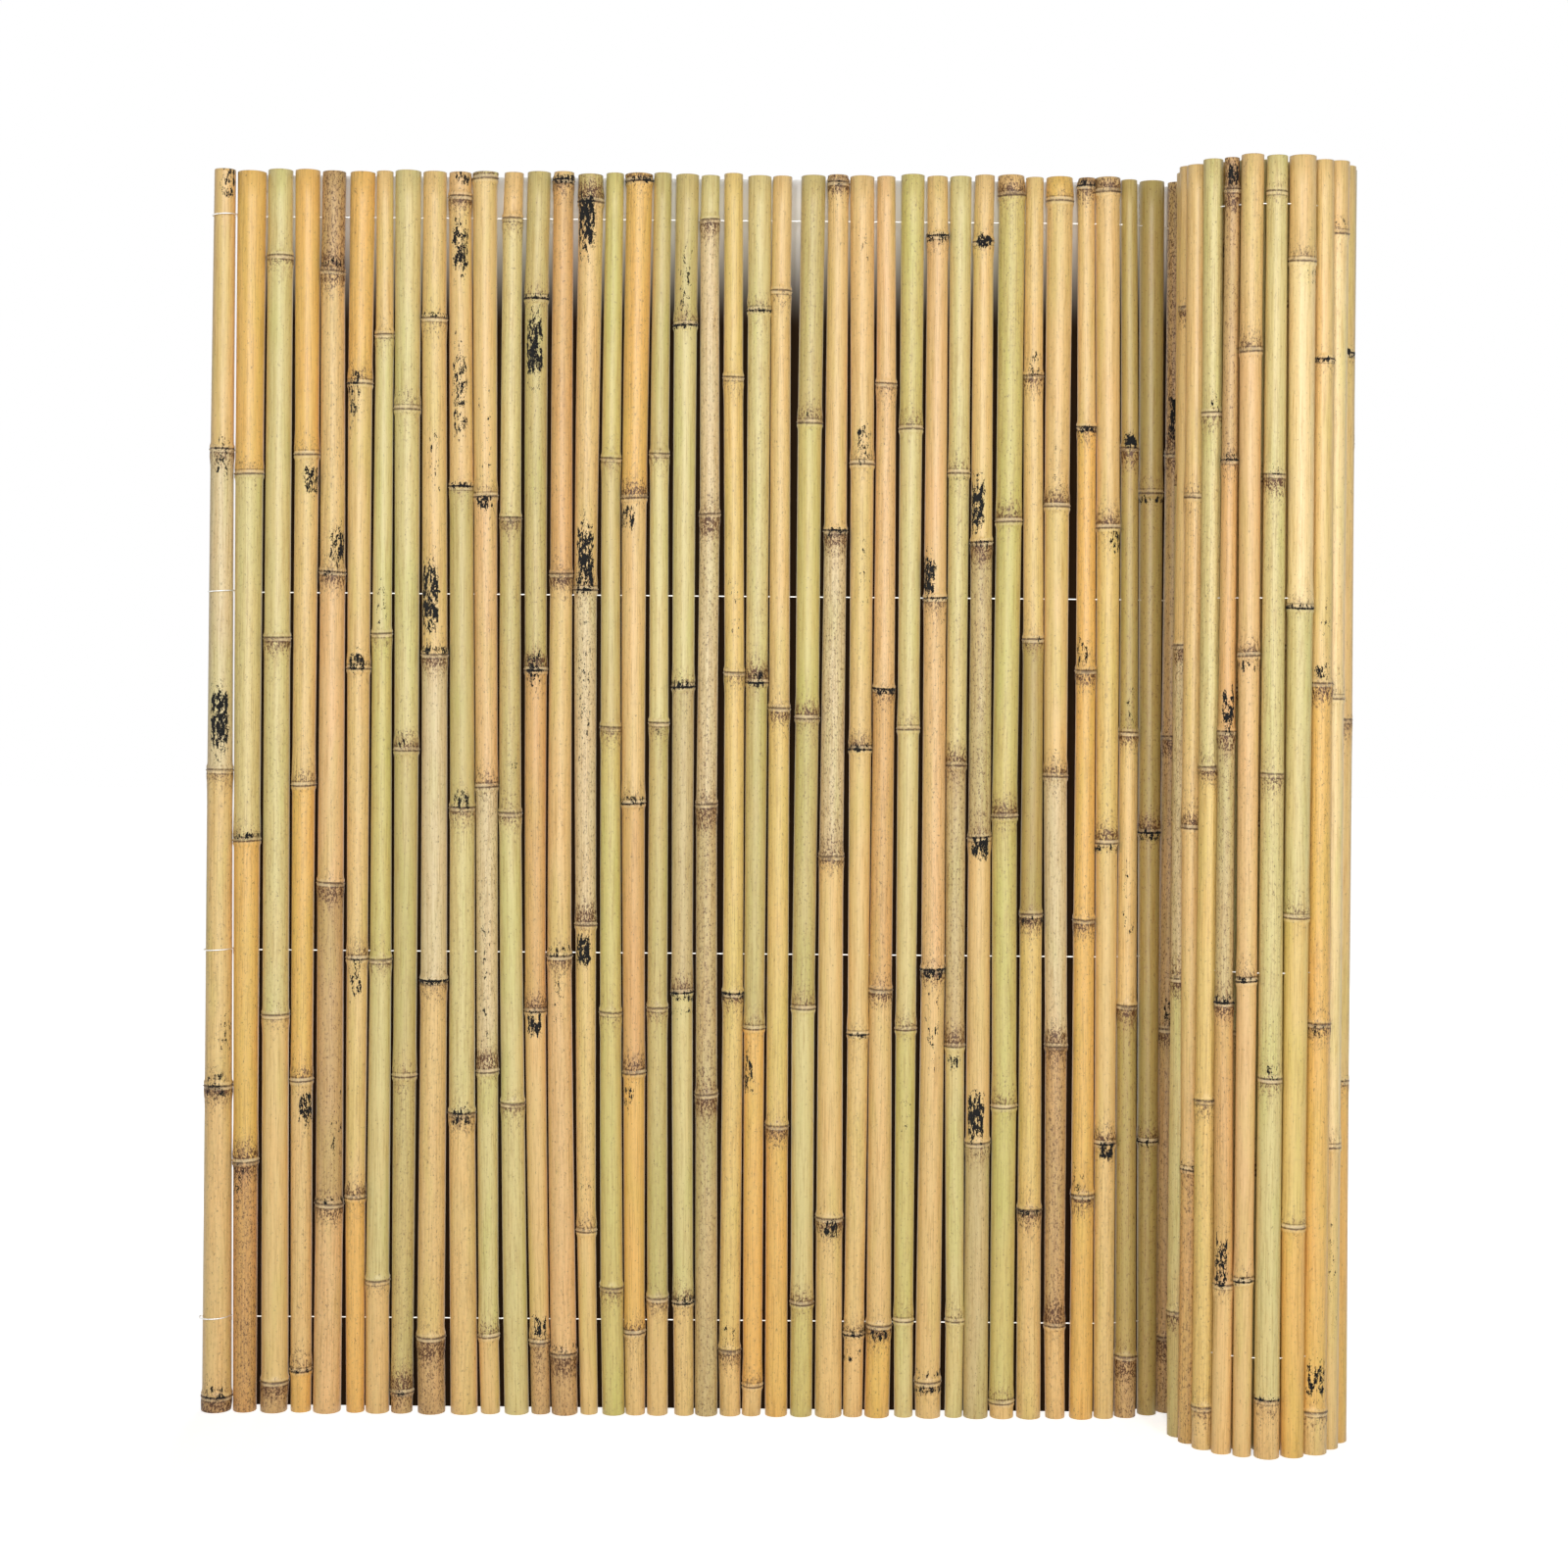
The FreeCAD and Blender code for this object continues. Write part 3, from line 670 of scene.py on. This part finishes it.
def ringMesh(name, rings):
    mesh = bpy.data.meshes.new(name)
    mesh.from_pydata([(0, 0, ring["ringHeight"]) for ring in rings], [], [])
    for key in ringFloats:
        mesh.attributes.new(key, "FLOAT", "POINT").data.foreach_set("value", [ring[key] for ring in rings])
    flat = [level for ring in rings for level in ring["tint"]]
    mesh.attributes.new("tint", "FLOAT_COLOR", "POINT").data.foreach_set("color", flat)
    return mesh


# Geometry Nodes: turn the rings of one cane into its skin
def caneTree(material):
    tree = bpy.data.node_groups.new("caneLathe", "GeometryNodeTree")
    tree.interface.new_socket("Geometry", in_out="INPUT", socket_type="NodeSocketGeometry")
    sockets = {}
    for name, kind in (("Axis X", "Float"), ("Axis Y", "Float"), ("Sides", "Int"), ("Ovality", "Float"),
                       ("Oval Turn", "Float"), ("Joint Slant", "Float"), ("Pattern Shift", "Float")):
        made = tree.interface.new_socket(name, in_out="INPUT", socket_type="NodeSocket" + kind)
        sockets[name] = made.identifier
    tree.interface.new_socket("Geometry", in_out="OUTPUT", socket_type="NodeSocketGeometry")

    graph = Graph(tree)
    given = graph.node("NodeGroupInput")
    sides = given.output("Sides")
    count = graph.node("GeometryNodeAttributeDomainSize", {"component": "MESH"}, {"Geometry": given})
    gridValues = {"Vertices X": count, "Vertices Y": sides + 1}
    skin = graph.node("GeometryNodeMeshGrid", None, gridValues)
    index = graph.node("GeometryNodeInputIndex")
    ring = graph.math("FLOOR", (index + 0.5) / (sides + 1))
    turn = (index - ring * (sides + 1)) / sides * math.tau

    def sampled(name, kind="FLOAT"):
        held = graph.node("GeometryNodeInputNamedAttribute", {"data_type": kind}, {"Name": name})
        sampleValues = {"Geometry": given, "Value": held, "Index": ring}
        return graph.node("GeometryNodeSampleIndex", {"data_type": kind, "domain": "POINT"}, sampleValues)

    def cosine(angle):
        return graph.math("COSINE", angle)

    radius = sampled("ringRadius")
    oval = 1 - given.output("Ovality") * (0.5 + 0.5 * cosine(2 * (turn - given.output("Oval Turn"))))
    across = radius * oval * cosine(turn)
    deep = radius * oval * graph.math("SINE", turn)
    nearJoint = 1 - graph.ramp(sampled("jointDistance"), *shapeLook["slantFade"])
    outer = 1 - graph.math("MAXIMUM", sampled("cutEnd"), sampled("bore"))
    slant = given.output("Joint Slant") * cosine(turn - given.output("Oval Turn")) * nearJoint * outer
    height = sampled("ringHeight")
    placeValues = {
        0: given.output("Axis X") + sampled("bowAcross") + across,
        1: given.output("Axis Y") + sampled("bowDeep") + deep,
        2: height + slant,
    }
    shift = given.output("Pattern Shift")
    patternValues = {0: across + shift, 1: deep - shift, 2: height + shift * 3}
    local = graph.node("ShaderNodeCombineXYZ", None, patternValues)

    # mould patches keep to one side of the cane, unless their side is shapeLook["allRound"]
    sootSide = sampled("sootSide")
    facing = cosine(turn + math.pi / 2 - sootSide * shapeLook["patchTurn"])
    patch = graph.ramp(facing + sampled("soot") * shapeLook["patchSpread"], *shapeLook["patchEdge"])
    allRound = graph.math("GREATER_THAN", sootSide, shapeLook["allRound"] - 0.5)
    soot = sampled("soot") * graph.math("MAXIMUM", patch, allRound)

    tint = sampled("tint", "FLOAT_COLOR")
    stored = [("caneSpace", "FLOAT_VECTOR", local), ("soot", "FLOAT", soot), ("tint", "FLOAT_COLOR", tint)]
    for name in ("jointDistance", "rootSide", "mottle", "cutEnd", "bore"):
        stored.append((name, "FLOAT", sampled(name)))
    for name, kind, value in stored:
        settings = {"data_type": kind, "domain": "POINT"}
        storeValues = {"Geometry": skin, "Name": name, "Value": value}
        skin = graph.node("GeometryNodeStoreNamedAttribute", settings, storeValues)
    place = graph.node("ShaderNodeCombineXYZ", None, placeValues)
    skin = graph.node("GeometryNodeSetPosition", None, {"Geometry": skin, "Position": place})
    mergeValues = {"Geometry": skin, "Distance": shapeLook["weld"]}
    skin = graph.node("GeometryNodeMergeByDistance", None, mergeValues)
    skin = graph.node("GeometryNodeFlipFaces", None, {"Mesh": skin})
    skin = graph.node("GeometryNodeRealizeInstances", None, {"Geometry": skin})
    skin = graph.node("GeometryNodeSetMaterial", None, {"Geometry": skin, "Material": material})
    graph.node("NodeGroupOutput", None, {"Geometry": skin})
    return tree, sockets


def caneMesh(name, shaft, look, seed, fine):
    # canes at the rim of the part keep within its overall size
    relief = shapeLook["edgeShare"] if name.removesuffix("Skin") in shapeLook["edgeCanes"] else 1.0
    rings = caneRings(shaft, look, seed, fine, relief)
    holder = bpy.data.objects.new(name, ringMesh(name + "Rings", rings))
    bpy.context.scene.collection.objects.link(holder)
    modifier = holder.modifiers.new("lathe", "NODES")
    modifier.node_group = latheTree
    chance = random.Random(seed * 7 + 1)
    settings = {
        "Axis X": shaft["axis"][0],
        "Axis Y": shaft["axis"][1],
        "Sides": shapeLook["frontSides"] if fine else shapeLook["hiddenSides"],
        "Ovality": shapeLook["ovality"] * chance.uniform(*shapeLook["unevenness"]),
        "Oval Turn": chance.uniform(0, math.pi),
        "Joint Slant": shapeLook["jointSlant"] * chance.uniform(*shapeLook["unevenness"]),
        "Pattern Shift": seed * shapeLook["patternStep"],
    }
    for key, value in settings.items():
        modifier[latheSockets[key]] = value
    graphResult = bpy.context.evaluated_depsgraph_get()
    mesh = bpy.data.meshes.new_from_object(holder.evaluated_get(graphResult))
    ends = mesh.attributes["cutEnd"].data
    for polygon in mesh.polygons:
        polygon.use_smooth = not all(ends[index].value > 0.5 for index in polygon.vertices)
    bpy.data.objects.remove(holder)
    return mesh


def joinPiece(name, meshes, nodeName):
    made = []
    for index, mesh in enumerate(meshes):
        item = bpy.data.objects.new(name if index == 0 else "%s_%d" % (name, index), mesh)
        bpy.context.scene.collection.objects.link(item)
        made.append(item)
    if len(made) > 1:
        with bpy.context.temp_override(active_object=made[0], selected_editable_objects=made):
            bpy.ops.object.join()
    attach(made[0], "root")
    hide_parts(nodeName)
    return made[0]


skinMaterial = bambooSkin()
latheTree, latheSockets = caneTree(skinMaterial)
seed = 0
for nodeName in sorted(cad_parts):
    if nodeName.startswith("wire"):
        continue
    meshes = []
    for shaft in readNode(nodeName):
        seed += 1
        fallback = ((0, 0, 0), plainLooks[seed % len(plainLooks)], ())
        look = caneLooks.get(nodeName, fallback)
        fine = not nodeName.startswith("roll_")
        meshes.append(caneMesh(nodeName + "Skin", shaft, look, seed, fine))
    words = nodeName.split("_")
    pieceName = words[0] + "".join(word.capitalize() for word in words[1:]) + "Skin"
    joinPiece(pieceName, meshes, nodeName)
print("canes made:", seed)

wireMaterial = galvanisedWire()
for nodeName in ("wire_foot", "wire_lower", "wire_upper", "wire_head"):
    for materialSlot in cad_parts[nodeName].material_slots:
        materialSlot.material = wireMaterial
print("wires dressed")


# Floor, and a panel behind the unrolled part that only the camera sees, and only from the front: its dark
# brown is painted shade in the gaps between the canes, its pale top painted light from above

stageLook = {
    "colour": (0.9, 0.9, 0.9, 1.0),
    "reach": 12.0,
    "drop": 0.2 * mm,
    "floorLift": 0.68,
    "shadowReach": (0.5, 1.3),
    "panelRoom": 3 * mm,
    "panelInset": 33 * mm,
    "panelSpare": 10 * mm,
    # painted shade, seen through the gaps between the canes
    "panelColour": (46, 34, 24),
    "panelTop": 2 * mm,
    # painted light: the panel turns pale towards its top, as if light fell in from above
    "paleAbove": (1.07, 1.20),
    "foldAtCane": "cane_36",
    "lastFlatCane": "cane_38",
    "firstTurnedCane": "cane_39",
}


def meshObject(name, points, faces):
    mesh = bpy.data.meshes.new(name)
    mesh.from_pydata(points, [], faces)
    made = bpy.data.objects.new(name, mesh)
    bpy.context.scene.collection.objects.link(made)
    return made


def stageRays(graph):
    rays = graph.node("ShaderNodeLightPath")
    seen = graph.math("MAXIMUM", rays.output("Is Camera Ray"), rays.output("Is Glossy Ray"))
    return graph.math("MAXIMUM", seen, rays.output("Is Transmission Ray"))


def floorMaterial():
    material, graph = newMaterial("paleFloor")
    place = graph.node("ShaderNodeTexCoord", out="Object")
    away = graph.node("ShaderNodeVectorMath", {"operation": "LENGTH"}, {0: place}, out="Value")
    lift = stageLook["floorLift"]
    glowStrength = stageRays(graph) * (lift + (1 - lift) * graph.ramp(away, *stageLook["shadowReach"]))
    diffuse = graph.node("ShaderNodeBsdfDiffuse", None, {"Color": stageLook["colour"]})
    glow = graph.node("ShaderNodeEmission", None, {"Color": (1, 1, 1, 1), "Strength": glowStrength})
    both = graph.node("ShaderNodeAddShader", None, {0: diffuse, 1: glow})
    graph.node("ShaderNodeOutputMaterial", None, {"Surface": both})
    return material


def panelMaterial():
    material, graph = newMaterial("shadedPanel")
    place = graph.node("ShaderNodeTexCoord", out="Object")
    split = graph.node("ShaderNodeSeparateXYZ", None, {0: place})
    # painted shade, turning to painted light towards the top
    pale = graph.ramp(split.output("Z"), *stageLook["paleAbove"])
    colour = graph.mix(pale, linear(stageLook["panelColour"]), stageLook["colour"])
    diffuse = graph.node("ShaderNodeBsdfDiffuse", None, {"Color": colour})
    clear = graph.node("ShaderNodeBsdfTransparent")
    rear = graph.node("ShaderNodeNewGeometry", out="Backfacing")
    seen = graph.node("ShaderNodeLightPath", out="Is Camera Ray") * (1 - rear)
    both = graph.node("ShaderNodeMixShader", None, {0: seen, 1: clear, 2: diffuse})
    graph.node("ShaderNodeOutputMaterial", None, {"Surface": both})
    return material


def addStage():
    reach = stageLook["reach"]
    level = -stageLook["drop"]
    corners = [(-reach, -reach, level), (reach, -reach, level)]
    corners += [(reach, reach, level), (-reach, reach, level)]
    floor = meshObject("floor", corners, [(0, 1, 2, 3)])
    floor.data.materials.append(floorMaterial())

    left = cadBox[0].x + stageLook["panelInset"]
    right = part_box(stageLook["lastFlatCane"])[1].x + stageLook["panelSpare"]
    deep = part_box("cane_01")[1].y + stageLook["panelRoom"]
    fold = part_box(stageLook["foldAtCane"])[1].x        # from here on it follows the canes into the roll
    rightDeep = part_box(stageLook["firstTurnedCane"])[1].y + stageLook["panelRoom"]
    top = cadBox[1].z - stageLook["panelTop"]
    corners = [(left, deep, 0), (fold, deep, 0), (right, rightDeep, 0)]
    corners += [(across, back, top) for across, back, foot in corners]
    panel = meshObject("panel", corners, [(0, 1, 4, 3), (1, 2, 5, 4)])
    panel.data.materials.append(panelMaterial())


addStage()
print("stage set")


# Light: a dim room, three tall soft boxes in front and a wide one behind

lightLook = {
    "roomStrength": 0.05,
    "boxes": (
        {"name": "softBoxLeft", "place": (-0.9, -3.2, 1.5), "size": (0.5, 2.2), "power": 30},
        {"name": "softBoxRight", "place": (1.6, -3.0, 1.3), "size": (0.5, 2.2), "power": 32},
        {"name": "softBoxFront", "place": (0.1, -3.3, 1.2), "size": (0.4, 1.6), "power": 37},
        {"name": "softBoxBack", "place": (0.3, 3.2, 1.8), "size": (2.0, 2.0), "power": 40},
    ),
    "aim": (0, 0, 0.6),
}


def addSoftBox(box):
    data = bpy.data.lights.new(box["name"], "AREA")
    data.shape = "RECTANGLE"
    data.size, data.size_y = box["size"]
    data.energy = box["power"]
    light = bpy.data.objects.new(box["name"], data)
    bpy.context.scene.collection.objects.link(light)
    light.location = box["place"]
    light.visible_glossy = box["name"] != "softBoxBack"
    across, deep, up = (aim - start for aim, start in zip(lightLook["aim"], box["place"]))
    tilt = math.pi / 2 + math.atan2(up, math.hypot(across, deep))
    light.rotation_euler = (tilt, 0, math.atan2(-across, deep))


def setWorld():
    world = bpy.data.worlds.new("room")
    world.use_nodes = True
    world.node_tree.nodes.clear()
    graph = Graph(world.node_tree)
    seen = stageRays(graph)
    strength = lightLook["roomStrength"] + seen * (1 - lightLook["roomStrength"])
    background = graph.node("ShaderNodeBackground", None, {"Color": (1, 1, 1, 1), "Strength": strength})
    graph.node("ShaderNodeOutputWorld", None, {"Surface": background})
    bpy.context.scene.world = world


for box in lightLook["boxes"]:
    addSoftBox(box)
setWorld()
bpy.context.scene.view_settings.view_transform = "Standard"
print("lights set")


# Camera, worked out from the photograph

cameraLook = {
    "imagePixels": 1600,
    "focalPixels": 2696,
    "horizonRow": 672,
    "distance": 2.6,
    "rightOfMiddle": 10.5 * mm,
    "footRow": 1443,
    "rollDegrees": -0.5,
    "sensor": 36.0,
}


def addCamera():
    data = bpy.data.cameras.new("camera")
    pixels = cameraLook["imagePixels"]
    data.sensor_width = cameraLook["sensor"]
    data.lens = cameraLook["sensor"] * cameraLook["focalPixels"] / pixels
    data.shift_y = -(pixels / 2 - cameraLook["horizonRow"]) / pixels
    camera = bpy.data.objects.new("camera", data)
    bpy.context.scene.collection.objects.link(camera)
    flatDepth = (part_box("cane_01")[0].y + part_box("cane_01")[1].y) / 2
    below = cameraLook["footRow"] - cameraLook["horizonRow"]
    height = below * cameraLook["distance"] / cameraLook["focalPixels"]
    camera.location = (cameraLook["rightOfMiddle"], flatDepth - cameraLook["distance"], height)
    camera.rotation_euler = (math.pi / 2, math.radians(cameraLook["rollDegrees"]), 0)
    bpy.context.scene.camera = camera


addCamera()
print("camera set")
